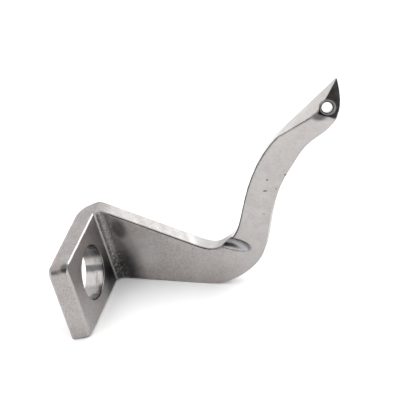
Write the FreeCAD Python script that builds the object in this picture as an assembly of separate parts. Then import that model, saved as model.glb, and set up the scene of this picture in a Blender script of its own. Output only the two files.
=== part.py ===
"""Cleat horn: a cast stainless hook for a boom or gooseneck fitting, in millimetres.

The real object is one casting. It is built here as one solid, and then cut where its form changes, so
that each region is a sub-part with its own name: the flange, the bend, the arm, the horn and the beak.
Its long edges are left sharp, and so are its corners, apart from the flange's upper free corner.

Frame: the origin is the bore's centre on the flange's mounting face, +X points out of that face towards
the hook, +Y runs across the flange towards the arm, and +Z points up.
"""
import FreeCAD, Part
import math
import os

V = FreeCAD.Vector

# Flange: the plate that the through bolt holds.
flange_thickness = 6.35
flange_height = 26.0
bore_diameter = 16.0
bore_edge_break = 0.4             # on the inner face only
bore_to_free_end = 14.3
free_end_slant = 1.6             # how much longer the mounting face is than the inner face
lower_edge_slant = 1.6           # how much further down the mounting face reaches
upper_corner_radius = 2.6        # the flange's upper free corner; its lower one is sharp
spot_face_depth = 0.25           # the inner face is machined this much below the bend's foot
spot_face_past_bend = 0.55       # the step lies this far past the foot of the bend

# Bend and arm: the strip turns a right angle, then tapers down to the saddle.
bore_to_arm_face = 13.9
bend_inner_radius = 2.3
bend_outer_radius = 8.0
arm_thickness = 5.2
arm_top_slope = math.radians(28.8)
saddle_reach = 39.2              # mounting face to the lowest point of the saddle
saddle_lift = 1.0                # how far the saddle rises above the arm's straight top edge
saddle_run = 4.0                 # where the straight top edge ends, before the saddle
strip_depth = 13.0               # from the saddle down past the lower edge
heel_run = 8.2                   # where the straight lower edge ends, before the saddle
heel_start_lift = 0.1            # how far that end lies above the horn's first outer point
straight_share = 0.9             # share of each straight edge that the curve after it leaves alone

# Horn: stations along its middle line, each a share of the reach and rise from the saddle to the tip,
# the heading in degrees above level, and the width across the side face.
horn_reach = 49.7
horn_rise = 53.05
horn_stations = [
    (0.002, -0.122, 0.0, 13.0),
    (0.127, -0.075, 19.0, 11.9),
    (0.235, 0.014, 33.0, 11.1),
    (0.305, 0.145, 66.0, 9.1),
    (0.380, 0.304, 63.5, 8.9),
    (0.485, 0.475, 57.0, 9.0),
    (0.607, 0.616, 48.0, 8.8),
    (0.711, 0.710, 40.0, 8.1),
    (0.856, 0.810, 32.0, 8.9),
]

# Beak: the ground end of the horn. Its places are shares of the horn's reach and rise, too.
bevel_start = (0.63, 0.735)      # the line where the top bevel is level from the back to the side face
bevel_twist = math.radians(10.5)       # how much lower its slope is at the side face than at the back
bevel_run_out = 4.6              # how far the top bevel reaches back past that line
beak_heel = (0.966, 0.792)       # the outer corner of the end
beak_end_bulge = 1.0             # rise of the end's arc above its chord
tip_overrun = (0.5, 0.3)         # how far the tip runs out and up past the bevel's end
crease_from_heel = 0.4           # the facet's crease meets the end this far above the heel
crease_angle = math.radians(24.0)
facet_tilt = math.radians(24.7)
lashing_hole_diameter = 3.8
lashing_rim_diameter = 5.2
lashing_rim_depth = 0.7
lashing_from_crease = 2.9        # up the facet, square to its crease
lashing_across = 2.75            # along the crease, from the end
beak_neck = (0.714, 0.707)       # where the beak begins

# Thumb scoop: the hollow that a small wheel leaves in the side face, at the inside of the elbow.
scoop_wheel_radius = 9.0
scoop_wheel_round = 2.4
scoop_depth = 1.6
scoop_centre = (0.131, 0.031)    # share of the horn's reach and rise
scoop_angle = math.radians(20.0)

arm_face = bore_to_arm_face
arm_back = arm_face + arm_thickness
half_height = flange_height / 2
saddle_z = half_height - (saddle_reach - flange_thickness) * math.tan(arm_top_slope) + saddle_lift
bend_start = arm_face - bend_inner_radius
margin = 5.0


def side(x, z, y=0.0):
    """A point given in the side view."""
    return V(x, y, z)


def on_horn(reach_share, rise_share):
    """A place on the horn, given as shares of the way from the saddle to the tip."""
    return saddle_reach + reach_share * horn_reach, saddle_z + rise_share * horn_rise


def spline(points):
    curve = Part.BSplineCurve()
    curve.interpolate(points)
    return curve.toShape()


def plan_strip():
    """The strip seen from above: flange, bend and arm, as tall as the whole horn."""
    t = flange_thickness
    bend_foot_angle = math.asin(spot_face_past_bend / bend_inner_radius)
    bend_middle_angle = (bend_foot_angle + math.pi / 2) / 2

    def on_inner_bend(angle):
        return V(t + bend_inner_radius * (1 - math.cos(angle)),
                 bend_start + bend_inner_radius * math.sin(angle), 0)

    free_in = V(t - spot_face_depth, -bore_to_free_end, 0)
    free_out = V(0, -bore_to_free_end - free_end_slant, 0)
    outer_foot = V(0, arm_back - bend_outer_radius, 0)
    outer_top = V(bend_outer_radius, arm_back, 0)
    inner_foot = on_inner_bend(bend_foot_angle)
    step = V(free_in.x, inner_foot.y, 0)
    inner_top = on_inner_bend(math.pi / 2)
    far = saddle_reach + horn_reach + margin
    far_back = V(far, arm_back, 0)
    far_face = V(far, arm_face, 0)
    outer_middle = V(bend_outer_radius * (1 - math.sqrt(0.5)),
                     arm_back - bend_outer_radius * (1 - math.sqrt(0.5)), 0)
    edges = [
        Part.LineSegment(free_in, free_out).toShape(),
        Part.LineSegment(free_out, outer_foot).toShape(),
        Part.Arc(outer_foot, outer_middle, outer_top).toShape(),
        Part.LineSegment(outer_top, far_back).toShape(),
        Part.LineSegment(far_back, far_face).toShape(),
        Part.LineSegment(far_face, inner_top).toShape(),
        Part.Arc(inner_top, on_inner_bend(bend_middle_angle), inner_foot).toShape(),
        Part.LineSegment(inner_foot, step).toShape(),
        Part.LineSegment(step, free_in).toShape(),
    ]
    low = saddle_z - strip_depth - margin
    high = saddle_z + horn_rise + margin
    face = Part.Face(Part.Wire(edges))
    face.translate(V(0, 0, low))
    return face.extrude(V(0, 0, high - low))


def horn_outlines():
    """Inner and outer edge of the horn, from its stations."""
    inner = []
    outer = []
    for reach, rise, degrees, width in horn_stations:
        x, z = on_horn(reach, rise)
        across = V(-math.sin(math.radians(degrees)), 0, math.cos(math.radians(degrees))) * (width / 2)
        inner.append(side(x, z) + across)
        outer.append(side(x, z) - across)
    return inner, outer


def side_outline():
    """The side view: flange edge, straight arm edges, and the two curves of the horn up to the tip."""
    t = flange_thickness
    y = -bore_to_free_end - free_end_slant - margin
    inner, outer = horn_outlines()
    flange_top = side(t, half_height)
    top_run = saddle_reach - saddle_run - t
    top_end = flange_top + V(top_run, 0, -top_run * math.tan(arm_top_slope))
    top_last = flange_top + (top_end - flange_top) * straight_share
    arm_foot = side(t, -half_height)
    mounting_foot = side(0, -half_height - lower_edge_slant)
    heel_start = side(saddle_reach - heel_run, outer[0].z + heel_start_lift)
    heel_last = arm_foot + (heel_start - arm_foot) * straight_share
    tip = side(*on_horn(1, 1)) + V(tip_overrun[0], 0, tip_overrun[1])
    corner = side(*on_horn(*beak_heel))
    end_chord = tip - corner
    end_middle = (tip + corner) * 0.5 + V(end_chord.z, 0, -end_chord.x).normalize() * beak_end_bulge
    edges = [
        Part.LineSegment(mounting_foot, side(0, half_height)).toShape(),
        Part.LineSegment(side(0, half_height), flange_top).toShape(),
        Part.LineSegment(flange_top, top_last).toShape(),
        spline([top_last, top_end] + inner + [tip]),
        Part.Arc(tip, end_middle, corner).toShape(),
        spline([heel_last, heel_start] + outer + [corner]),
        Part.LineSegment(heel_last, arm_foot).toShape(),
        Part.LineSegment(arm_foot, mounting_foot).toShape(),
    ]
    face = Part.Face(Part.Wire(Part.__sortEdges__(edges)))
    face.translate(V(0, y, 0))
    return face.extrude(V(0, arm_back + margin - y, 0))


def corner_waste():
    """What rounding takes off the flange's upper free corner."""
    along = V(flange_thickness - spot_face_depth, free_end_slant, 0).normalize()
    up = V(0, 0, 1)
    inward = up.cross(along)
    corner = V(0, -bore_to_free_end - free_end_slant, half_height) - along * margin
    edge_end = corner + inward * upper_corner_radius
    end_edge = corner - up * upper_corner_radius
    centre = edge_end - up * upper_corner_radius
    arc_middle = centre + (up - inward).normalize() * upper_corner_radius
    outside = [end_edge, end_edge - inward, corner - inward + up, edge_end + up, edge_end]
    edges = [Part.LineSegment(first, last).toShape() for first, last in zip(outside, outside[1:])]
    edges.append(Part.Arc(edge_end, arc_middle, end_edge).toShape())
    return Part.Face(Part.Wire(edges)).extrude(along * (flange_thickness + 2 * margin))


def bore():
    radius = bore_diameter / 2
    along = V(1, 0, 0)
    hole = Part.makeCylinder(radius, flange_thickness + 2 * margin, V(-margin, 0, 0), along)
    break_start = V(flange_thickness - spot_face_depth - bore_edge_break, 0, 0)
    edge_break = Part.makeCone(radius, radius + bore_edge_break + margin, bore_edge_break + margin,
                               break_start, along)
    return hole.fuse(edge_break)


def beak_top_slope():
    """Rise over run of the bevel along the back, which runs out at the tip."""
    start_reach, start_rise = bevel_start
    return (1 - start_rise) * horn_rise / ((1 - start_reach) * horn_reach)


def top_bevel():
    """The beak's top: it meets the back at one slope and the side face at a lower one, so it twists."""
    meeting = side(*on_horn(*bevel_start))
    back_slope = beak_top_slope()
    side_slope = math.tan(math.atan(back_slope) - bevel_twist)
    back = meeting.x - bevel_run_out
    front = meeting.x + horn_reach
    roof = meeting.z + horn_rise
    wires = []
    for past in (-margin, arm_thickness + margin):
        share = past / arm_thickness
        slope = side_slope * (1 - share) + back_slope * share
        y = arm_face + past
        corners = [V(back, y, meeting.z - bevel_run_out * slope),
                   V(front, y, meeting.z + horn_reach * slope),
                   V(front, y, roof), V(back, y, roof)]
        wires.append(Part.makePolygon(corners + [corners[0]]))
    return Part.makeLoft(wires, True, True)


def facet_frame():
    """The ground facet: a point on its crease, the crease's direction, and the facet's outward normal."""
    heel_x, heel_z = on_horn(*beak_heel)
    point = V(heel_x, arm_face, heel_z + crease_from_heel)
    crease = V(-math.cos(crease_angle), 0, math.sin(crease_angle))
    up_beak = V(math.sin(crease_angle), 0, math.cos(crease_angle))
    normal = V(0, -math.cos(facet_tilt), 0) + up_beak * math.sin(facet_tilt)
    return point, crease, normal


def lashing_hole():
    point, crease, normal = facet_frame()
    up_facet = crease.cross(normal)
    centre = point + crease * lashing_across + up_facet * lashing_from_crease
    radius = lashing_hole_diameter / 2
    drill = Part.makeCylinder(radius, 4 * arm_thickness, centre + normal * arm_thickness, -normal)
    flare = (lashing_rim_diameter - lashing_hole_diameter) / 2 / lashing_rim_depth
    rim = Part.makeCone(radius + flare * (lashing_rim_depth + margin), radius, lashing_rim_depth + margin,
                        centre + normal * margin, -normal)
    return drill.fuse(rim)


def scoop():
    """The path of a small round-edged wheel, sunk in the side face at the inside of the elbow."""
    x, z = on_horn(*scoop_centre)
    wheel_reach = scoop_wheel_radius + scoop_wheel_round
    centre = V(x, arm_face - wheel_reach + scoop_depth, z)
    axle = V(math.sin(scoop_angle), 0, math.cos(scoop_angle))
    rim = Part.makeTorus(scoop_wheel_radius, scoop_wheel_round, centre, axle)
    hub_start = centre - axle * scoop_wheel_round
    hub = Part.makeCylinder(scoop_wheel_radius, 2 * scoop_wheel_round, hub_start, axle)
    return rim.fuse(hub)


def block_beyond(point, normal, size):
    """A block that stands on a plane through the point, on the normal's side."""
    block = Part.makeBox(size, size, size, V(-size / 2, -size / 2, 0))
    block.Placement = FreeCAD.Placement(point, FreeCAD.Rotation(V(0, 0, 1), normal))
    return block


def finished_casting():
    facet_point, facet_crease, facet_normal = facet_frame()
    facet = block_beyond(facet_point, facet_normal, horn_reach)
    casting = plan_strip().common(side_outline())
    for cut in (corner_waste(), bore(), top_bevel(), facet, lashing_hole(), scoop()):
        casting = casting.cut(cut)
    return casting


def regions(casting):
    """The casting cut where its form changes, in order from the flange to the beak."""
    bend_end = flange_thickness + bend_inner_radius
    neck_x, neck_z = on_horn(*beak_neck)
    planes = [
        ("mounting_flange", V(0, bend_start + spot_face_past_bend, 0), V(0, 1, 0)),
        ("flange_bend", V(bend_end, 0, 0), V(1, 0, 0)),
        ("arm", V(saddle_reach, 0, 0), V(1, 0, 0)),
        ("horn", V(neck_x, 0, neck_z), V(1, 0, beak_top_slope())),
    ]
    everything = 4 * (horn_reach + saddle_reach)
    rest = casting
    for name, point, normal in planes:
        beyond = block_beyond(point, normal, everything)
        yield name, rest.cut(beyond)
        rest = rest.common(beyond)
    yield "beak", rest


os.makedirs("parts", exist_ok=True)
for name, region in regions(finished_casting()):
    solid = region.Solids[0]
    print(name, len(region.Solids), solid.isValid(), round(solid.Volume, 1))
    solid.exportStep("parts/" + name + ".step")
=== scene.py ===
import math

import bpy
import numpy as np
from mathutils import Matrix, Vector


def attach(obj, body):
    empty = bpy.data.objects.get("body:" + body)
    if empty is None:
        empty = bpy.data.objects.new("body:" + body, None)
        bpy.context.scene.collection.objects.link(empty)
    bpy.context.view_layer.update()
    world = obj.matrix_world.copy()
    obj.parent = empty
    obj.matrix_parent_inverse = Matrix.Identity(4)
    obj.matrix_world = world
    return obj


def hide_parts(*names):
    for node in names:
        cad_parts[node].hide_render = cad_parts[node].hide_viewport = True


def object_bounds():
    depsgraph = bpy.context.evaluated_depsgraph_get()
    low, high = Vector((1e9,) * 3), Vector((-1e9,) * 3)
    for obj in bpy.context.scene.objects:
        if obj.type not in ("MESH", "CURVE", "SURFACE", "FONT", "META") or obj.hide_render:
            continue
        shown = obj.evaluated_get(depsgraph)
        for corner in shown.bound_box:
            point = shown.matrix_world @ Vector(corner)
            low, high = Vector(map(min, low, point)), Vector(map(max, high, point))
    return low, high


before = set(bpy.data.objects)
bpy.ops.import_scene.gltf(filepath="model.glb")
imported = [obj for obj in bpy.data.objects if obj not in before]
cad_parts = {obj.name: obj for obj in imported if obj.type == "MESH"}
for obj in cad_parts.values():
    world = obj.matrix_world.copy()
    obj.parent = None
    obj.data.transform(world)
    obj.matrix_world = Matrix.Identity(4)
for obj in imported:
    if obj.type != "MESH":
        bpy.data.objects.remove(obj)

# %% [markdown]
# # A cast stainless cleat horn
# The object is one casting: a bored flange, a right-angled bend, a flat arm, and a horn that sweeps up to
# a ground beak. A foundry pours it as a bent bar, and a finisher then takes metal away: a cutter faces
# the flange, a wheel hollows the elbow, and a belt grinds the beak. This script works in the same order.
#
# The solid model comes first, as the fixed frame. Its box is kept and printed, and the mesh's grid is laid
# over it.

cad_box = [list(corner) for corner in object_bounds()]
MM = 0.001
print("solid model, mm:", [[round(value / MM, 2) for value in corner] for corner in cad_box])

# %% [markdown]
# ## Camera
# The camera comes before the object, because it decides how fine the detail must be. It stands a little
# over half a metre away with a long lens, looking down at the flange's inner side. It leans, because the
# casting doesn't stand upright: it lies on the flange's lower corner and the heel of its elbow.
# A camera looks along its own -Z axis, so the three directions go in as the columns of a matrix.

# %% Place the camera
camera_data = bpy.data.cameras.new("camera")
camera_data.sensor_width = 36.0
camera_data.lens = 173.08
camera = bpy.data.objects.new("camera", camera_data)
bpy.context.scene.collection.objects.link(camera)
look = Vector((-0.35273, 0.76257, -0.54229))
right = Vector((0.93408, 0.25265, -0.25231))
up = right.cross(look)
turn = Matrix((right, up, -look)).transposed()
camera_place = Vector((0.249506, -0.434870, 0.330214))
camera.matrix_world = Matrix.Translation(camera_place) @ turn.to_4x4()
camera_data.clip_start = 0.01
bpy.context.scene.camera = camera
middle_of_casting = Vector((0.045, 0.01, 0.015))
print("camera distance, m:", round((camera.location - middle_of_casting).length, 3))

# %% [markdown]
# ## Distance fields: working metal with numbers
# The casting could be cut with boolean modifiers and its edges softened with bevels. On a part like this,
# where a twisted bevel, an oblique facet and a round scoop all run into each other, that leaves thin faces
# and broken edges. A distance field avoids both. It is a function that says, for any point, how far outside
# the metal the point is, with negative numbers inside. Two shapes meet by taking the larger of their
# fields, and the corner between them gets any radius wanted, as if a finisher had run a stone along it.
# Lengths in this part of the script are in millimetres.


# %% Meet, join and cut, with rounded corners
def meet(a, b, radius):
    """What lies inside both shapes. Their common edge gets the radius."""
    over_a = np.maximum(a + radius, 0)
    over_b = np.maximum(b + radius, 0)
    return np.minimum(np.maximum(a, b), -radius) + np.sqrt(over_a ** 2 + over_b ** 2)


def join(a, b, radius):
    """What lies inside either shape. Their inside corner gets the radius."""
    return -meet(-a, -b, radius)


def cut(a, tool, radius):
    """The first shape with the tool's shape taken out of it."""
    return meet(a, -tool, radius)


at_corner = meet(np.array(0.0), np.array(0.0), 1.0)
print("metal that a 1 mm edge takes from a corner, mm:", round(float(at_corner), 3))

# %% [markdown]
# ## The side outline
# From the side, the casting is a strip with a straight taper, a saddle, and an S-shaped horn. The horn is
# drawn the way a pattern maker does it: a middle line with a heading and a width at a few stations. A smooth
# curve through each edge then gives the outline. The curve is a cubic spline, so its curvature never jumps,
# and a reflection runs along the edge without a kink.

# %% Sizes of the bar
FLANGE_THICKNESS = 6.35
HALF_HEIGHT = 13.0
FREE_END = 14.3
FREE_END_SLANT = 1.6
LOWER_EDGE_SLANT = 1.6
ARM_FACE = 13.9
ARM_THICKNESS = 5.2
ARM_BACK = ARM_FACE + ARM_THICKNESS
ARM_SLOPE = math.radians(28.8)
SADDLE_X = 39.2
SADDLE_LIFT = 1.0
SADDLE_Z = HALF_HEIGHT - (SADDLE_X - FLANGE_THICKNESS) * math.tan(ARM_SLOPE) + SADDLE_LIFT
REACH = 49.7
RISE = 53.05
# Each station has its shares of the reach and the rise, its heading in degrees, and its width.
STATIONS = [
    (0.002, -0.122, 0.0, 13.0),
    (0.127, -0.075, 19.0, 11.9),
    (0.235, 0.014, 33.0, 11.1),
    (0.305, 0.145, 66.0, 9.1),
    (0.380, 0.304, 63.5, 8.9),
    (0.485, 0.475, 57.0, 9.0),
    (0.607, 0.616, 48.0, 8.8),
    (0.711, 0.710, 40.0, 8.1),
    (0.856, 0.810, 32.0, 8.9),
]
TIP = (SADDLE_X + REACH + 1.0, SADDLE_Z + RISE + 1.4)
HEEL = (SADDLE_X + 0.966 * REACH, SADDLE_Z + 0.792 * RISE)
print("tip at x, z:", TIP, "heel at x, z:", HEEL)


# %% Draw a smooth curve through points
def spline(points, steps=14):
    """Points along a natural cubic spline. It is drawn against the straight distance between its points."""
    points = np.array(points, float)
    spans = np.linalg.norm(np.diff(points, axis=0), axis=1)
    count = len(points)
    system = np.eye(count)
    wanted = np.zeros((count, 2))
    for i in range(1, count - 1):
        system[i, i - 1:i + 2] = spans[i - 1], 2 * (spans[i - 1] + spans[i]), spans[i]
        wanted[i] = 6 * ((points[i + 1] - points[i]) / spans[i] - (points[i] - points[i - 1]) / spans[i - 1])
    bends = np.linalg.solve(system, wanted)
    line = []
    for i, span in enumerate(spans):
        for share in np.arange(steps) / steps:
            ahead = share * span
            left = span - ahead
            line.append((bends[i] * left ** 3 + bends[i + 1] * ahead ** 3) / (6 * span)
                        + (points[i] / span - bends[i] * span / 6) * left
                        + (points[i + 1] / span - bends[i + 1] * span / 6) * ahead)
    line.append(points[-1])
    return line


level = spline([(0, 0), (1, 0), (2, 0)])
print("points on a curve through three:", len(level))


# %% Draw the side outline
def horn_edges():
    """The inner and the outer edge of the horn, from its stations."""
    inner = []
    outer = []
    for reach, rise, heading, width in STATIONS:
        middle = np.array([SADDLE_X + reach * REACH, SADDLE_Z + rise * RISE])
        turned = math.radians(heading)
        across = np.array([-math.sin(turned), math.cos(turned)]) * width / 2
        inner.append(middle + across)
        outer.append(middle - across)
    return inner, outer


def bow(first, pull, last, t):
    """A point on the curve from the first point to the last, pulled towards the middle one."""
    return (1 - t) ** 2 * first + 2 * t * (1 - t) * pull + t ** 2 * last


def side_outline():
    """The closed outline in the side view, as x and z pairs, once round."""
    inner, outer = horn_edges()
    before_flange = -10.0
    end_bow = np.array([0.8, -0.1])
    straight_share = 0.9
    lower_fall = LOWER_EDGE_SLANT * (FLANGE_THICKNESS - before_flange) / FLANGE_THICKNESS
    flange_top = np.array([FLANGE_THICKNESS, HALF_HEIGHT])
    run = SADDLE_X - 4.0 - FLANGE_THICKNESS
    top_end = flange_top + np.array([run, -run * math.tan(ARM_SLOPE)])
    top_last = flange_top + (top_end - flange_top) * straight_share
    arm_foot = np.array([FLANGE_THICKNESS, -HALF_HEIGHT])
    heel_start = np.array([SADDLE_X - 8.2, outer[0][1] + 0.1])
    heel_last = arm_foot + (heel_start - arm_foot) * straight_share
    tip = np.array(TIP)
    heel = np.array(HEEL)
    top = spline([top_last, top_end] + inner + [tip])
    bottom = spline([heel_last, heel_start] + outer + [heel])
    end_bulge = (tip + heel) / 2 + end_bow
    back_from_heel = 2.0
    trimmed = [point for point in bottom if np.linalg.norm(point - heel) > back_from_heel]
    up_end = heel + (end_bulge - heel) * 0.3
    pull = end_bulge + (end_bulge - (up_end + tip) / 2)
    corner = [bow(trimmed[-1], heel, up_end, t) for t in (0.25, 0.5, 0.75)]
    end = [bow(up_end, pull, tip, t) for t in np.linspace(0, 0.95, 8)]
    flange_low = np.array([before_flange, -HALF_HEIGHT - lower_fall])
    flange_high = np.array([before_flange, HALF_HEIGHT])
    start = [flange_low, flange_high, flange_top]
    return np.array(start + top + end[::-1] + corner[::-1] + trimmed[::-1] + [arm_foot])


outline = side_outline()
print("outline points:", len(outline), "from", outline.min(0).round(2), "to", outline.max(0).round(2))

# %% [markdown]
# Asking every point of the casting how far it is from every piece of this outline would be slow. The
# distances are worked out once on a fine map of the side view, and a point then reads the map.
# The sign comes from counting how often a level ray crosses the outline.

# %% Make the outline's distance map
MAP_STEP = 0.15
MAP_LOW = np.array([-6.0, -22.0])
MAP_HIGH = np.array([94.0, 54.0])


def outline_distance(x, z):
    """How far points are from the outline, in mm, and below zero inside it."""
    best = np.full(x.shape, 1e9)
    inside = np.zeros(x.shape, bool)
    for (ax, az), (bx, bz) in zip(outline, np.roll(outline, -1, axis=0)):
        along_x, along_z = bx - ax, bz - az
        length = max(along_x ** 2 + along_z ** 2, 1e-12)
        share = np.clip(((x - ax) * along_x + (z - az) * along_z) / length, 0, 1)
        best = np.minimum(best, (x - ax - share * along_x) ** 2 + (z - az - share * along_z) ** 2)
        if az != bz:
            inside ^= ((az > z) != (bz > z)) & (x < ax + (z - az) / along_z * along_x)
    return np.sqrt(best) * np.where(inside, -1, 1)


map_axes = [np.arange(low, high, MAP_STEP) for low, high in zip(MAP_LOW, MAP_HIGH)]
outline_map = outline_distance(*np.meshgrid(*map_axes, indexing="ij"))


def in_side_view(x, z):
    """How far a point is outside the side outline, read between the map's four nearest values."""
    across = np.clip((x - MAP_LOW[0]) / MAP_STEP, 0, outline_map.shape[0] - 1.001)
    rise = np.clip((z - MAP_LOW[1]) / MAP_STEP, 0, outline_map.shape[1] - 1.001)
    i = across.astype(int)
    k = rise.astype(int)
    s = across - i
    t = rise - k
    return ((outline_map[i, k] * (1 - s) + outline_map[i + 1, k] * s) * (1 - t)
            + (outline_map[i, k + 1] * (1 - s) + outline_map[i + 1, k + 1] * s) * t)


print("map:", outline_map.shape)

# %% [markdown]
# ## The bent bar
# Seen from above, the bar is two flat slabs: the flange, and the arm that carries the horn. They are joined
# with a small radius inside the bend and a large one outside it. The finisher softens the edges of the back
# more than the edges of the front, so the back and the front meet the side outline with radii of their own.

# %% Sizes of the bend and the edges
BEND_INSIDE = 2.3
BEND_OUTSIDE = 8.0
UPPER_CORNER = 2.6
LOWER_CORNER = 1.3
BACK_EDGE = 1.3
BEAK_EDGE = 0.45
FRONT_EDGE = 0.6
FLANGE_EDGE = 0.25
FOOT_EDGE = 0.5
SPOT_FACE_DEPTH = 0.25
STEP_Y = 12.15
STEP_EDGE = 0.12
END_DRAFT = 0.35
END_DRAFT_FROM = 17.2


def bent_bar(x, y, z, edge=1.0):
    """The bar before finishing. The edge value scales the radii of the back, front and step edges, so a tiny
    one gives sharp edges there; the bend and the end corners keep theirs.
    """
    back = meet(-x, y - ARM_BACK, BEND_OUTSIDE)
    front = join(x - FLANGE_THICKNESS, ARM_FACE - y, BEND_INSIDE)
    spot_face = np.minimum(x - FLANGE_THICKNESS + SPOT_FACE_DEPTH, STEP_Y - y)
    front = meet(front, spot_face, STEP_EDGE * edge)
    slant = math.hypot(FLANGE_THICKNESS, FREE_END_SLANT)
    end = ((-FREE_END - y) * FLANGE_THICKNESS + (x - FLANGE_THICKNESS) * FREE_END_SLANT) / slant
    towards_tip = np.clip((z - 36.5) / 6, 0, 1) * np.clip((x - 78) / 6, 0, 1)
    outline = in_side_view(x + END_DRAFT * (y - END_DRAFT_FROM) * towards_tip, z)
    side = meet(outline, end, np.where(z > 0, UPPER_CORNER, LOWER_CORNER))
    towards_beak = np.clip((z - 20) / 20, 0, 1)
    towards_foot = np.clip((-z - 4) / 8, 0, 1) * np.clip((-10.5 - y) / 3, 0, 1)
    back_edge = BACK_EDGE + (BEAK_EDGE - BACK_EDGE) * towards_beak
    front_edge = FRONT_EDGE + FLANGE_EDGE * np.clip((9 - x) / 2, 0, 1) + FOOT_EDGE * towards_foot
    return np.maximum(meet(back, side, back_edge * edge), meet(front, side, front_edge * edge))


in_the_arm = bent_bar(*(np.array([value]) for value in (20.0, (ARM_FACE + ARM_BACK) / 2, -5.0)))
print("metal round the middle of the arm, mm:", -in_the_arm.round(2))

# %% [markdown]
# ## What the finisher takes away
# Five tools shape the bar. A drill and a reamer leave the bore, with a faint ring where the two meet. A belt
# grinds the top of the beak to a bevel that twists, steeper at the back than at the front. The same belt,
# turned, leaves the oblique facet at the tip, and a small drill goes through it, leaning a little. Its mouth
# is rounded wide, so that a lashing doesn't chafe. A little wheel with a round rim sinks the thumb scoop at
# the inside of the elbow.

# %% Bore, bevel, facet, lashing hole and scoop
BORE_RADIUS = 8.0
BORE_RING_X = 3.7
BEVEL_START = (SADDLE_X + 0.63 * REACH, SADDLE_Z + 0.735 * RISE)
BEVEL_BACK_SLOPE = (TIP[1] - BEVEL_START[1]) / (TIP[0] - BEVEL_START[0])
BEVEL_FRONT_SLOPE = 0.465
BEVEL_RUN_OUT = 8.0
CREASE_ANGLE = math.radians(24)
CREASE = np.array([-math.cos(CREASE_ANGLE), 0, math.sin(CREASE_ANGLE)])
FACET_TILT = math.radians(24.7)
FACET_NORMAL = np.array([math.sin(CREASE_ANGLE) * math.sin(FACET_TILT), -math.cos(FACET_TILT),
                         math.cos(CREASE_ANGLE) * math.sin(FACET_TILT)])
FACET_POINT = np.array([HEEL[0], ARM_FACE, HEEL[1] + 0.4])
UP_FACET = np.cross(CREASE, FACET_NORMAL)
LASHING_ALONG = 2.95
LASHING_UP = 2.9
LASHING_CENTRE = FACET_POINT + CREASE * LASHING_ALONG + UP_FACET * LASHING_UP
LASHING_RADIUS = 1.42
LASHING_LEAN = np.array([0.26, 0.0, 0.03])
MIDDLE_OF_BEAK = 17.0
LASHING_AXIS = (FACET_NORMAL + LASHING_LEAN) / np.linalg.norm(FACET_NORMAL + LASHING_LEAN)
WHEEL_RADIUS = 9.0
WHEEL_ROUND = 2.4
SCOOP_DEPTH = 1.6
SCOOP_TURN = math.radians(20)
WHEEL_CENTRE = np.array([SADDLE_X + 0.131 * REACH, ARM_FACE - WHEEL_RADIUS - WHEEL_ROUND + SCOOP_DEPTH,
                         SADDLE_Z + 0.031 * RISE])
WHEEL_AXLE = np.array([math.sin(SCOOP_TURN), 0, math.cos(SCOOP_TURN)])
print("lashing hole leans, degrees:", round(math.degrees(math.acos(float(LASHING_AXIS @ FACET_NORMAL))), 1))


def round_bar(x, y, z, centre, axis):
    """How far a point is from an axis, and how far along it."""
    px, py, pz = x - centre[0], y - centre[1], z - centre[2]
    along = px * axis[0] + py * axis[1] + pz * axis[2]
    away = np.sqrt(np.maximum(px ** 2 + py ** 2 + pz ** 2 - along ** 2, 0))
    return away, along


def bore(x, y, z):
    """The reamer opens the bore a little towards the inner face, and it narrows behind the ring."""
    taper = 0.035 * np.maximum(x - BORE_RING_X, 0) - 0.05 * np.maximum(BORE_RING_X - x, 0)
    return np.sqrt(y ** 2 + z ** 2) - BORE_RADIUS - taper


def top_bevel(x, y, z):
    """Above zero where the belt takes metal off the top of the beak."""
    share = np.clip((y - ARM_FACE) / ARM_THICKNESS, 0.02, 1.2)
    slope = BEVEL_FRONT_SLOPE + (BEVEL_BACK_SLOPE - BEVEL_FRONT_SLOPE) * share ** 0.65
    plane = (z - BEVEL_START[1] - (x - BEVEL_START[0]) * slope) / np.sqrt(1 + slope ** 2)
    return np.minimum(plane, x - BEVEL_START[0] + BEVEL_RUN_OUT)


def facet(x, y, z):
    """Above zero where the belt takes metal away. It never reaches back past the neck of the beak."""
    plane = ((x - FACET_POINT[0]) * FACET_NORMAL[0] + (y - FACET_POINT[1]) * FACET_NORMAL[1]
             + (z - FACET_POINT[2]) * FACET_NORMAL[2])
    return np.minimum(plane, x - BEVEL_START[0])


def lashing_hole(x, y, z):
    """Below zero inside the small drill."""
    return round_bar(x, y, z, LASHING_CENTRE, LASHING_AXIS)[0] - LASHING_RADIUS


def scoop_wheel(x, y, z):
    """Below zero inside the wheel: a disc with a round rim."""
    away, along = round_bar(x, y, z, WHEEL_CENTRE, WHEEL_AXLE)
    return np.sqrt(np.maximum(away - WHEEL_RADIUS, 0) ** 2 + along ** 2) - WHEEL_ROUND


# %% [markdown]
# Every tool leaves its edge with a softness of its own. The bore's mouth is broken on the inner face and left
# almost sharp behind. Last of all, a hand never holds a belt quite flat, so the faces get waves of a few
# hundredths of a millimetre, and the flange's upper corner gets small uneven flats.

# %% Put the casting together
def casting(x, y, z, edge=1.0):
    """The whole casting: the bent bar, and then each tool with the softness its edge is left with."""
    metal = bent_bar(x, y, z, edge)
    metal = cut(metal, -top_bevel(x, y, z), 0.4 * edge)
    metal = cut(metal, -facet(x, y, z), 0.3 * edge)
    metal = cut(metal, scoop_wheel(x, y, z), 0.15 * edge)
    metal = cut(metal, bore(x, y, z), np.where(x > 3, 0.3, 0.1) * edge)
    return cut(metal, lashing_hole(x, y, z), np.where(y < MIDDLE_OF_BEAK, 1.05, 0.4) * edge)


WAVE_HEIGHT = 0.018
DEEPEST_WAVE = 1.6
CORNER_FLATS = 0.15


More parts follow.
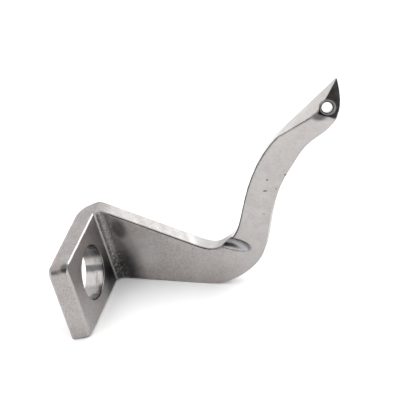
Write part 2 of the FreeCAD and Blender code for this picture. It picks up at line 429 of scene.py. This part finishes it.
def finished(x, y, z):
    """The casting with the slight waves that hand work leaves in its flats. They only take metal away."""
    waves = (np.sin(0.61 * x + 0.83 * z + 1.0) * np.sin(0.47 * x - 0.71 * z + 0.9 * y)
             + 0.6 * np.sin(1.3 * x - 0.9 * z + 2.0) * np.sin(1.1 * z + 0.8 * x + 1.2 * y))
    corner = 1 - np.clip(np.sqrt((y + 13.5) ** 2 + (z - 11.5) ** 2) / 4, 0, 1)
    ground_by_hand = corner * (1 + np.sin(1.15 * x + 0.9 * z - 0.3) * np.cos(0.9 * y + 0.5 * x)) / 2
    return casting(x, y, z) + WAVE_HEIGHT * (waves + DEEPEST_WAVE) + CORNER_FLATS * ground_by_hand


print("deepest hand wave, mm:", round(WAVE_HEIGHT * DEEPEST_WAVE * 2, 3))

# %% [markdown]
# ## From field to mesh
# A surface is where the field is zero. The space round the casting is divided into small cells. Each cell
# that the surface passes through gets one vertex, and each grid edge that it crosses gets one four-sided
# face between the cells around that edge. The vertices are then moved along the field's slope until they lie
# on the surface, and the same slope gives each its normal, so that flat faces stay flat in reflections.

# %% Cells, vertices and faces
CELL = 0.3


def slope_of(field, points, reach=0.02):
    """The field's gradient at each point."""
    x, y, z = points.T
    return np.stack([field(x + reach, y, z) - field(x - reach, y, z),
                     field(x, y + reach, z) - field(x, y - reach, z),
                     field(x, y, z + reach) - field(x, y, z - reach)], axis=1) / (2 * reach)


def skin(field, low, high, cell):
    """The vertices and four-sided faces of the surface where the field is zero."""
    axes = [np.arange(a - 2 * cell, b + 3 * cell, cell) for a, b in zip(low, high)]
    values = np.concatenate([field(*np.meshgrid(part, axes[1], axes[2], indexing="ij"))
                             for part in np.array_split(axes[0], 12)])
    inside = values < 0
    corners = [(i, j, k) for i in (0, 1) for j in (0, 1) for k in (0, 1)]
    size = np.array(values.shape) - 1

    def corner_of(array, corner):
        i, j, k = corner
        return array[i:i + size[0], j:j + size[1], k:k + size[2]]

    filled = sum(corner_of(inside, corner).astype(np.int8) for corner in corners)
    cells = np.argwhere((filled > 0) & (filled < 8))
    number = np.full(size, -1)
    number[tuple(cells.T)] = np.arange(len(cells))
    total = np.zeros((len(cells), 3))
    crossings = np.zeros(len(cells))
    for corner in corners:
        for axis in range(3):
            if corner[axis]:
                continue
            other = tuple(value + (n == axis) for n, value in enumerate(corner))
            a = values[tuple((cells + corner).T)]
            b = values[tuple((cells + other).T)]
            crossed = (a < 0) != (b < 0)
            place = np.tile(np.array(corner, float), (len(cells), 1))
            place[:, axis] += a / np.where(crossed, a - b, 1)
            total += place * crossed[:, None]
            crossings += crossed
    points = np.array([axis[0] for axis in axes]) + (cells + total / crossings[:, None]) * cell
    faces = []
    for axis in range(3):
        one, two = [n for n in range(3) if n != axis]
        if axis == 1:
            one, two = two, one
        step = np.zeros(3, int)
        step[axis] = 1
        last = tuple(slice(0, length - step[n]) for n, length in enumerate(values.shape))
        first = tuple(slice(step[n], None) for n in range(3))
        edges = np.argwhere(inside[last] != inside[first])
        edges = edges[(edges[:, one] > 0) & (edges[:, two] > 0)]
        around = []
        for back_one, back_two in ((1, 1), (0, 1), (0, 0), (1, 0)):
            cell_at = edges.copy()
            cell_at[:, one] -= back_one
            cell_at[:, two] -= back_two
            around.append(number[tuple(cell_at.T)])
        quads = np.stack(around, axis=1)
        leaving = inside[tuple(edges.T)]
        faces.append(np.where(leaving[:, None], quads, quads[:, ::-1]))
    return points, np.concatenate(faces)


low_mm = [value / MM for value in cad_box[0]]
high_mm = [value / MM for value in cad_box[1]]
points, faces = skin(finished, low_mm, high_mm, CELL)
for settle in range(4):
    lean = slope_of(finished, points)
    off = finished(*points.T)
    points = points - lean * (off / np.maximum((lean ** 2).sum(1), 0.2))[:, None]
normals = slope_of(finished, points)
normals /= np.linalg.norm(normals, axis=1)[:, None]
miss = np.abs(finished(*points.T)).max()
print("vertices:", len(points), "faces:", len(faces), "largest miss, mm:", miss.round(4))
print("box, mm:", points.min(0).round(2), points.max(0).round(2))

# %% Make the mesh object
mesh = bpy.data.meshes.new("cleat_horn")
mesh.from_pydata((points * MM).tolist(), [], faces.tolist())
mesh.validate()
mesh.shade_smooth()
mesh.normals_split_custom_set_from_vertices(normals.tolist())
cleat_horn = bpy.data.objects.new("cleat_horn", mesh)
bpy.context.scene.collection.objects.link(cleat_horn)
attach(cleat_horn, "root")
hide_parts("mounting_flange", "flange_bend", "arm", "horn", "beak")
print("faces in the mesh:", len(mesh.polygons))

# %% [markdown]
# ## Zones of finish, painted shade and painted light
# One steel covers the whole casting, but not one finish. The broad faces were blasted and then lightly
# rubbed, so they are satin. The belt and the wheel left the beak, the scoop and the top edge smooth. The
# bend could not be reached by either, so it keeps its dark, rough skin from the mould.
# The fields that cut the shape also say where each finish belongs, so the two can't drift apart. Each zone is
# stored at the vertices as a number from 0 to 1, and the material reads it by name. Some zones also carry
# painted shade and painted light.


# %% Store a zone at the vertices
def ease(value, low, high):
    """0 below the first limit, 1 above the second, and a smooth rise between them."""
    share = np.clip((value - low) / (high - low), 0, 1)
    return share * share * (3 - 2 * share)


def blot(x, y, z, centre, size):
    """A soft blot, full at its centre and gone at its size along each axis."""
    away = sum(((value - middle) / extent) ** 2 for value, middle, extent in zip((x, y, z), centre, size))
    return 1 - ease(np.sqrt(away), 0.35, 1.0)


def zone(name, amount):
    amount = np.clip(np.asarray(amount, np.float32), 0, 1)
    mesh.attributes.new(name, "FLOAT", "POINT").data.foreach_set("value", amount)
    print(name, "covers", round(float((amount > 0.5).mean()) * 100, 1), "% of the vertices")


# %% [markdown]
# A rounded edge is found by asking an almost sharp casting the same question. A vertex on a flat lies on
# both surfaces. A vertex on a rounded edge lies inside the sharp one, and the deeper it lies, the rounder the
# edge. Rubbing always brightens an edge first, so this is where the polish goes.

# %% Find the rounded edges and the worked faces
x, y, z = points.T
SHARP = 0.02
rounding = casting(x, y, z) - casting(x, y, z, SHARP)
edges = ease(rounding, 0.015, 0.07)
beak_end = x - BEVEL_START[0]
on_side_face = y < ARM_FACE + 0.6
ground = ease(top_bevel(x, y, z), -0.35, -0.1) * ease(beak_end, -5, -2)
ground = np.maximum(ground, ease(facet(x, y, z), -0.35, -0.1))
scooped = ease(-scoop_wheel(x, y, z), -0.35, -0.1) * (y < ARM_FACE + 2.5)
reamed = ease(-bore(x, y, z), -0.3, -0.05)
drilled = ease(-lashing_hole(x, y, z), -1.15, -0.8)
top_strip = ease(normals[:, 2], 0.1, 0.5) * ease(in_side_view(x, z), -0.5, -0.2) * ease(x, 7, 13)
print("vertices on rounded edges:", int((edges > 0.5).sum()))

# %% [markdown]
# The bend lies between the arm's face and the step that the facing cutter left at the bend's foot. The edge
# of that step is rubbed bright, and the strip beside it stays dark.

# %% Find the bend and its step
front = ease(BEND_OUTSIDE - x, -9, -3) * ease(ARM_FACE + 1.2 - y, 0, 1.0)
front = front * (1 - ease(normals[:, 2], 0.5, 0.8))
bend = front * ease(y, STEP_Y - 0.1, STEP_Y + 0.2) * (1 - ease(x, 8.6, 10.6))
step_line = front * (1 - ease(np.abs(y - STEP_Y), 0.12, 0.4)) * (1 - ease(x, 6.3, 6.8))
beside_step = front * (1 - ease(np.abs(y - STEP_Y - 0.7), 0.2, 0.7)) * (1 - ease(x, 6.8, 7.6))
print("vertices in the bend:", int((bend > 0.5).sum()))

# %% [markdown]
# The darkest zone holds three kinds of mark. One is residue in the bend, where no rag reaches. Another is
# painted shade. Polished metal mirrors dark things close by, and this studio has none, so those dark
# reflections
# are painted here instead: the bands in the bore, the line along the top front edges, the arm's foot and lower
# edge, the flange's inner face, its upper free corner and its upward faces, the lashing hole's mouth, the
# saddle and the strip under the facet. The rest are plain dark marks, such as a patch on the arm beside the
# bend and an outline round the scoop's rim. A mark with no edge of its own is a soft blot. A mark that follows
# a cut uses the field that made the cut.

# %% Find the dark places on the flange and the arm
# Painted shade on the flange's inner face beside the bore, for the shaded floor that it mirrors.
inner_face_shade = front * ease(x, 5.6, 5.9) * ease(y, 1.5, 8.5) * (1 - ease(z, -8.0, 4.0))
# A dark patch on the arm beside the bend, with a fainter tail below it.
dark_patch = blot(x, y, z, (11.4, ARM_FACE, 5.2), (3.4, 3.0, 5.4))
dark_patch_tail = blot(x, y, z, (10.2, ARM_FACE, -2.0), (2.0, 3.0, 9.0))
# Painted shade at the arm's foot and along its lower edge, for the shadow on the floor that it mirrors.
low_arm_shade = blot(x, y, z, (8.0, ARM_FACE, -15.5), (11.0, 9.0, 6.5)) * front
long_shade = front * (1 - ease(z, -16.5, -11.0)) * ease(x, 9.0, 12.0)
# Painted shade on the flange's upper free corner: a dark reflection.
corner_shade = blot(x, y, z, (5.0, -13.6, 12.4), (1.9, 2.6, 1.6))
bore_band = 0.85 * (1 - ease(np.abs(z + 3.7), 0.5, 1.3))
bore_top = 0.82 * ease(z, -1.6, 0.8)
bore_foot = 0.45 * (1 - ease(z, -7.7, -7.1))
bore_shade = reamed * np.maximum.reduce([bore_top, bore_band, bore_foot])
bore_ring = reamed * (1 - ease(np.abs(x - BORE_RING_X), 0.1, 0.35)) * 0.4
# Painted shade on the flange's upward faces.
flange_top_shade = 0.4 * ease(normals[:, 2], 0.4, 0.8) * (1 - ease(x, 7.5, 11.0)) * (1 - reamed)
flange_marks = [inner_face_shade, 0.8 * dark_patch, 0.4 * dark_patch_tail, 0.8 * low_arm_shade, 0.75 * long_shade,
                0.85 * corner_shade, bore_shade, bore_ring, flange_top_shade, 0.42 * bend, 0.8 * beside_step]
print("dark marks on the flange and the arm:", len(flange_marks))

# %% Find the dark places on the horn
top_side = ease(normals[:, 2] - normals[:, 0], 0.1, 0.5)
near_front = 1 - ease(y, ARM_FACE + 0.6, ARM_FACE + 1.0)
dark_edge = ease(rounding, 0.004, 0.03) * top_side * ease(x, 8.5, 10.0) * near_front
dark_edge = dark_edge * (1 - ease(beak_end, 12.0, 14.0))
scoop_rim = 0.6 * edges * ease(-scoop_wheel(x, y, z), -1.2, -0.5) * on_side_face
saddle_shade = blot(x, y, z, (42.0, 16.0, -2.0), (4.5, 5.0, 3.5))
# Painted shade on the horn's face just under the tip's facet, where the facet's dark reflection runs on.
under_facet_shade = blot(x, y, z, (82.9, ARM_FACE, 40.0), (3.4, 2.5, 1.9)) * on_side_face
# Painted shade round the lashing hole's mouth: the dark room that its rounded rim mirrors.
hole_mouth_shade = drilled * (y < MIDDLE_OF_BEAK - 0.5)
horn_marks = [0.9 * dark_edge, scoop_rim, 0.5 * saddle_shade, 0.85 * under_facet_shade, 0.8 * hole_mouth_shade,
              0.1 * ground]
print("dark marks on the horn:", len(horn_marks))

# %% Store every zone
# Painted light: a lighter patch on the arm beside the bend, where the arm mirrors the flange's dark inner
# face.
well_rubbed = blot(x, y, z, (16.0, ARM_FACE, -3.0), (8.0, 4.0, 9.0))
zone("polish", np.maximum.reduce([ground, 0.8 * top_strip, edges * (1 - bend), reamed, drilled, step_line]))
zone("scoop", scooped)
zone("bore", reamed)
zone("side_face", on_side_face)
zone("skin", bend * (1 - step_line))
# Rubbed steel towards the horn, and the patch of painted light on the arm.
zone("rubbed", np.maximum(ease(x, 20.0, 58.0), 0.8 * well_rubbed))
# Residue in the bend, painted shade and plain dark marks go into one zone, the darkest.
zone("grime", np.maximum.reduce(flange_marks + horn_marks) * (1 - step_line))

# %% [markdown]
# ## Nodes as sums
# A material is easier to read as a sum than as a web of nodes. This small class holds one output of a node.
# Adding or multiplying two of them makes the Math node that does it, so `0.3 + 0.2 * grain` is a material.


# %% A wire between shader nodes
class Wire:
    """One output of a shader node, in the tree that it belongs to."""

    def __init__(self, tree, socket=None):
        self.tree = tree
        self.socket = socket

    def node(self, kind, settings, sockets, output=0):
        """Make a node, set it up, feed its sockets with numbers or wires, and return one output."""
        made = self.tree.nodes.new(kind)
        for name, value in settings.items():
            setattr(made, name, value)
        for name, value in sockets.items():
            if isinstance(value, Wire):
                self.tree.links.new(value.socket, made.inputs[name])
            else:
                made.inputs[name].default_value = value
        return Wire(self.tree, made.outputs[output])

    def math(self, operation, a, b):
        return self.node("ShaderNodeMath", {"operation": operation}, {0: a, 1: b})

    def __add__(self, other):
        return self.math("ADD", self, other)

    def __radd__(self, other):
        return self.math("ADD", other, self)

    def __sub__(self, other):
        return self.math("SUBTRACT", self, other)

    def __rsub__(self, other):
        return self.math("SUBTRACT", other, self)

    def __mul__(self, other):
        return self.math("MULTIPLY", self, other)

    def __rmul__(self, other):
        return self.math("MULTIPLY", other, self)

    def ramp(self, low, high, start=0.0, end=1.0):
        """Follow this value smoothly from one limit to the other."""
        return self.node("ShaderNodeMapRange", {"interpolation_type": "SMOOTHSTEP"},
                         {"Value": self, "From Min": low, "From Max": high, "To Min": start, "To Max": end})

    def blend(self, a, b):
        """The first colour where this value is 0, and the second where it is 1."""
        return self.node("ShaderNodeMix", {"data_type": "RGBA"}, {0: self, 6: a, 7: b}, 2)


print("a wire can:", [name for name in vars(Wire) if not name.startswith("_")])

# %% [markdown]
# ## The steel
# Three sizes of noise carry the satin: grains under half a millimetre, patches of a few millimetres where the
# rubbing went over twice, and clouds as wide as the bar. The polished zones get two more, stretched along the
# two ways that the belt ran, for fine brush lines. Grains lighten, dull and lift the surface together, because
# on the real metal they are one thing: small facets.

# %% Noise for the steel
steel = bpy.data.materials.new("stainless")
steel.use_nodes = True
metal = steel.node_tree.nodes["Principled BSDF"]
wire = Wire(steel.node_tree)
place = wire.node("ShaderNodeTexCoord", {}, {}, 3)


def noise(scale, detail, stretch=(1.0, 1.0, 1.0), turn=0.0):
    """Noise with its features one over the scale apart, in metres, turned about Y and stretched."""
    where = place
    if stretch != (1.0, 1.0, 1.0):
        where = wire.node("ShaderNodeMapping", {},
                          {"Vector": place, "Rotation": (0.0, turn, 0.0), "Scale": stretch})
    return wire.node("ShaderNodeTexNoise", {},
                     {"Vector": where, "Scale": scale, "Detail": detail, "Roughness": 0.6})


def stored(name):
    """A zone, read back from the vertices."""
    return wire.node("ShaderNodeAttribute", {"attribute_name": name}, {}, 2)


grain = noise(1900.0, 3.0)
patch = noise(330.0, 2.0)
cloud = noise(95.0, 2.0)
brush_lines = noise(2600.0, 2.0, (0.07, 1.0, 1.0), math.radians(-40))
cross_lines = noise(2200.0, 2.0, (1.0, 0.08, 1.0))
polish = stored("polish")
scoop = stored("scoop")
bore_wall = stored("bore")
mould_skin = stored("skin")
rubbed = stored("rubbed")
grime = stored("grime")
print("nodes for noise and zones:", len(steel.node_tree.nodes))

# %% [markdown]
# Pits are the last thing the foundry leaves. A few on the horn and one on the arm are large enough to see.
# Each is a dark dot at a place of its own, some longer than they are wide, and its distance is taken in the
# side view only, so that it doesn't matter how deep the surface lies. The side face's zone keeps the pits off
# the back.

# %% Pits in the side face
# Each pit has its place along X and Z, its size in millimetres, and how much longer it is than wide.
PITS = [
    (62.5, 19.7, 0.45, 1.0),
    (60.9, 15.9, 0.40, 2.2),
    (64.4, 16.4, 0.30, 1.0),
    (68.3, 21.1, 0.35, 1.4),
    (58.5, 7.7, 0.30, 1.0),
    (33.0, -3.5, 0.22, 1.0),
]
MM_PER_METRE = 1000.0
pits = 0.0
for pit_x, pit_z, size, longer in PITS:
    pit = (pit_x * MM, 0.0, pit_z * MM)
    squeeze = (MM_PER_METRE / longer, 0.0, MM_PER_METRE)
    moved = wire.node("ShaderNodeVectorMath", {"operation": "SUBTRACT"}, {0: place, 1: pit})
    flat = wire.node("ShaderNodeVectorMath", {"operation": "MULTIPLY"}, {0: moved, 1: squeeze})
    away = wire.node("ShaderNodeVectorMath", {"operation": "LENGTH"}, {0: flat}, "Value")
    pits = pits + away.ramp(size * 0.4, size, 1.0, 0.0)
pits = pits * stored("side_face")
print("pits:", len(PITS))

# %% [markdown]
# The colours go on from the broadest to the smallest: satin and rubbed steel with a patch of painted light,
# the bright zones, the scoop's painted shade, the speckle of the grain, the residue and painted shade, the
# pits, and the light grains of the mould's skin. Roughness and bump are sums of the same wires. The whole
# surface is metal, so that value sits on the shader itself.

# %% Mix the colour of the steel
SATIN = (0.385, 0.357, 0.347, 1.0)
# Rubbed steel, also used for the patch of painted light on the arm.
RUBBED_AND_PAINTED_LIGHT = (0.425, 0.404, 0.396, 1.0)
BRIGHT = (0.385, 0.372, 0.363, 1.0)
# The darkest colour, for residue, painted shade, plain dark marks and pits.
GRIME_AND_SHADE_COLOUR = (0.052, 0.050, 0.052, 1.0)
# Painted shade: the scoop's hollow is given a darker colour.
SCOOP_SHADE = (0.27, 0.265, 0.275, 1.0)
DARK_GRAIN = (0.17, 0.158, 0.152, 1.0)
LIGHT_GRAIN = (0.45, 0.43, 0.42, 1.0)
colour = rubbed.blend(SATIN, RUBBED_AND_PAINTED_LIGHT)
colour = polish.blend(colour, BRIGHT)
colour = scoop.blend(colour, SCOOP_SHADE)
fine = grain.ramp(0.38, 0.62, 1.0, 0.0) * (0.34 - 0.2 * polish) * (1.0 - 0.6 * rubbed)
speckle = fine + cloud.ramp(0.35, 0.65, 0.0, 0.1) + patch.ramp(0.4, 0.7, 0.0, 0.08)
colour = speckle.blend(colour, DARK_GRAIN)
# Residue, painted shade and plain dark marks go on in the darkest colour.
colour = (grime * patch.ramp(0.2, 0.55, 0.8, 1.0)).blend(colour, GRIME_AND_SHADE_COLOUR)
colour = (pits * 0.8).blend(colour, GRIME_AND_SHADE_COLOUR)
light_grain = mould_skin * grain.ramp(0.5, 0.68, 0.0, 0.5)
colour = light_grain.blend(colour, LIGHT_GRAIN)
print("nodes with the colour:", len(steel.node_tree.nodes))

# %% Roughness, bump and the finished steel
rough = (0.3 - 0.19 * polish - 0.1 * scoop + 0.16 * mould_skin + 0.1 * patch + 0.06 * grain
         + 0.01 * bore_wall)
dents = (grain * (0.10 - 0.07 * polish) + patch * 0.3 + mould_skin * grain * 0.4 - pits * 0.8
         + polish * (brush_lines + cross_lines) * 0.04)
lift = wire.node("ShaderNodeBump", {}, {"Height": dents, "Distance": 0.0001, "Strength": 0.6})
for name, source in (("Base Color", colour), ("Roughness", rough), ("Normal", lift)):
    steel.node_tree.links.new(source.socket, metal.inputs[name])
metal.inputs["Metallic"].default_value = 1.0
mesh.materials.append(steel)
print("nodes in the steel:", len(steel.node_tree.nodes))

# %% [markdown]
# ## The surface it lies on
# The casting lies on a plain white sheet, on two points: the flange's lower corner and the heel. The sheet is
# therefore tilted in the object's own frame. Seen from below it is clear, so that it hides nothing.

# %% Lay the floor
FLOOR_UP = Vector((0.129, -0.009, 0.99)).normalized()
FLOOR_POINT = Vector((0.038, 0.0139, -0.01745))
FLOOR_RADIUS = 0.6
FLOOR_CORNERS = 64
side_way = FLOOR_UP.orthogonal().normalized()
other_way = FLOOR_UP.cross(side_way)
rim = [FLOOR_POINT + (side_way * math.cos(turn) + other_way * math.sin(turn)) * FLOOR_RADIUS
       for turn in np.linspace(0, 2 * math.pi, FLOOR_CORNERS, endpoint=False)]
floor_mesh = bpy.data.meshes.new("floor")
floor_mesh.from_pydata(rim, [], [list(range(FLOOR_CORNERS))])
floor = bpy.data.objects.new("floor", floor_mesh)
bpy.context.scene.collection.objects.link(floor)
print("floor radius, m:", FLOOR_RADIUS)

# %% Make the floor's paper
paper = bpy.data.materials.new("floor")
paper.use_nodes = True
sheet = paper.node_tree.nodes["Principled BSDF"]
sheet.inputs["Base Color"].default_value = (0.88, 0.88, 0.88, 1.0)
sheet.inputs["Roughness"].default_value = 0.9
sheet.inputs["Specular IOR Level"].default_value = 0.0
paper_wire = Wire(paper.node_tree)
behind = paper_wire.node("ShaderNodeNewGeometry", {}, {}, "Backfacing")
clear = paper_wire.node("ShaderNodeBsdfTransparent", {}, {})
lit = Wire(paper.node_tree, sheet.outputs[0])
shown = paper_wire.node("ShaderNodeMixShader", {}, {0: behind, 1: lit, 2: clear})
paper.node_tree.links.new(shown.socket, paper.node_tree.nodes["Material Output"].inputs["Surface"])
floor_mesh.materials.append(paper)
print("nodes in the paper:", len(paper.node_tree.nodes))

# %% [markdown]
# ## Studio light
# Polished metal shows the room. The room here is a white tent with a dark opening on the camera's side, which
# the facet at the tip mirrors. A small bright window, behind the casting and to its right, draws the white
# line along the flange's inner top edge. The tent is the world itself: bright all round, and falling off
# smoothly towards the opening.

# %% Light the tent
world = bpy.data.worlds.new("studio")
bpy.context.scene.world = world
world.use_nodes = True
tent = Wire(world.node_tree)
OPENING = Vector((0.3, -0.85, 0.45)).normalized()
TENT = 1.92
OPENING_GLOW = 0.05
WINDOW_WAY = Vector((0.54, 0.76, 0.35)).normalized()
WINDOW = 3.2
looking = tent.node("ShaderNodeTexCoord", {}, {}, 0)


def towards(way):
    """1 for light that comes from this way, and less the further it comes from elsewhere."""
    return tent.node("ShaderNodeVectorMath", {"operation": "DOT_PRODUCT"}, {0: looking, 1: way}, "Value")


walls = towards(OPENING).ramp(0.78, 0.90, TENT, OPENING_GLOW)
strength = walls + towards(WINDOW_WAY).ramp(0.93, 0.97, 0.0, WINDOW)
world.node_tree.links.new(strength.socket, world.node_tree.nodes["Background"].inputs["Strength"])
world.node_tree.nodes["Background"].inputs["Color"].default_value = (1.0, 1.0, 1.0, 1.0)
bpy.context.scene.view_settings.view_transform = "Standard"
print("tent strength:", TENT)

# %% [markdown]
# ## The boxes
# The solid model's box and the mesh's box are printed above, in millimetres. The finished look has to
# stay inside the solid model's box.
